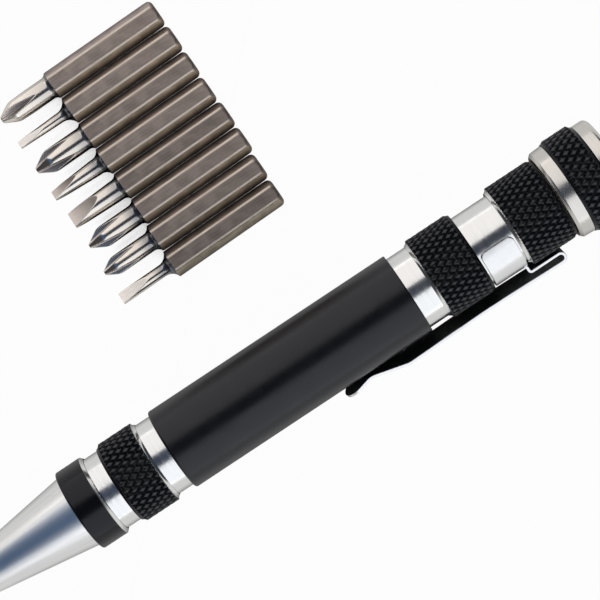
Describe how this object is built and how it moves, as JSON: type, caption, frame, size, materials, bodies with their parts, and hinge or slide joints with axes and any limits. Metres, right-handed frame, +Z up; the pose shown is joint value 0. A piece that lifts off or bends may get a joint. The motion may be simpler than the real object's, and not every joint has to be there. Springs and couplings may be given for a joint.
{
  "type": "pocket screwdriver",
  "caption": "Pen-shaped pocket screwdriver with knurled grips, spring clip, swivel cap and bit store, lying beside a row of loose hex bits.",
  "frame": {"origin": "on the table, in the middle of the space that the driver and its row of bits take up", "axes": "+X along the driver from its nose to its cap, +Y from the driver to the row of bits, +Z up from the table"},
  "size_m": [0.1102, 0.066, 0.0155],
  "materials": {
    "bright_aluminium": "turned and polished",
    "black_anodised": "satin black anodised aluminium",
    "spring_steel": "polished nickel-plated spring steel",
    "plated_steel": "zinc-plated steel",
    "tool_steel": "drawn tool steel with a dull grey-brown sheen and bright tips",
    "magnet": "nickel-plated magnet",
    "nylon": "natural nylon"
  },
  "bodies": {
    "handle": {"barrel": "black_anodised", "nose_cone": "bright_aluminium", "front_band": "black_anodised", "front_grip": "black_anodised", "bit_socket": "plated_steel", "socket_magnet": "magnet"},
    "clip": {"clip_collar": "spring_steel"},
    "clip_arm": {"clip_arm": "spring_steel"},
    "tail": {"tail_body": "bright_aluminium", "rear_grip": "black_anodised", "tail_grip": "black_anodised", "thrust_washer": "nylon", "pivot_screw": "plated_steel", "swivel_washer": "plated_steel"},
    "swivel_cap": {"cap_shell": "bright_aluminium", "cap_grip": "black_anodised", "end_disc": "bright_aluminium"},
    "cross_bit_1": {"cross_bit_1": "tool_steel"},
    "slot_bit_1": {"slot_bit_1": "tool_steel"},
    "cross_bit_2": {"cross_bit_2": "tool_steel"},
    "slot_bit_2": {"slot_bit_2": "tool_steel"},
    "slot_bit_3": {"slot_bit_3": "tool_steel"},
    "cross_bit_3": {"cross_bit_3": "tool_steel"},
    "cross_bit_4": {"cross_bit_4": "tool_steel"},
    "slot_bit_4": {"slot_bit_4": "tool_steel"}
  },
  "joints": [
    {"name": "tail_advance", "type": "slide", "parent": "handle", "child": "clip", "axis": [0.9999, 0, 0.0141], "range_m": [0, 0.006]},
    {"name": "tail_turn", "type": "hinge", "parent": "clip", "child": "tail", "pos_m": [0.01977, -0.02406, 0.00731], "axis": [0.9999, 0, 0.0141], "range_deg": [0, 2160]},
    {"name": "cap_swivel", "type": "hinge", "parent": "tail", "child": "swivel_cap", "pos_m": [0.04512, -0.02406, 0.00767], "axis": [0.9999, 0, 0.0141], "continuous": true},
    {"name": "clip_flex", "type": "hinge", "parent": "clip", "child": "clip_arm", "pos_m": [0.04211, -0.03115, 0.00476], "axis": [-0.0131, -0.3746, 0.9271], "range_deg": [0, 5], "stiffness_Nm_per_rad": 0.6},
    {"name": "cross_bit_1_lift", "type": "slide", "parent": "handle", "child": "cross_bit_1", "axis": [0, 0, 1], "range_m": [0, 0.03]},
    {"name": "slot_bit_1_lift", "type": "slide", "parent": "handle", "child": "slot_bit_1", "axis": [0, 0, 1], "range_m": [0, 0.03]},
    {"name": "cross_bit_2_lift", "type": "slide", "parent": "handle", "child": "cross_bit_2", "axis": [0, 0, 1], "range_m": [0, 0.03]},
    {"name": "slot_bit_2_lift", "type": "slide", "parent": "handle", "child": "slot_bit_2", "axis": [0, 0, 1], "range_m": [0, 0.03]},
    {"name": "slot_bit_3_lift", "type": "slide", "parent": "handle", "child": "slot_bit_3", "axis": [0, 0, 1], "range_m": [0, 0.03]},
    {"name": "cross_bit_3_lift", "type": "slide", "parent": "handle", "child": "cross_bit_3", "axis": [0, 0, 1], "range_m": [0, 0.03]},
    {"name": "cross_bit_4_lift", "type": "slide", "parent": "handle", "child": "cross_bit_4", "axis": [0, 0, 1], "range_m": [0, 0.03]},
    {"name": "slot_bit_4_lift", "type": "slide", "parent": "handle", "child": "slot_bit_4", "axis": [0, 0, 1], "range_m": [0, 0.03]}
  ],
  "couplings": [
    {"joint": "tail_advance", "follows": "tail_turn", "m_per_rad": 0.00015915}
  ]
}
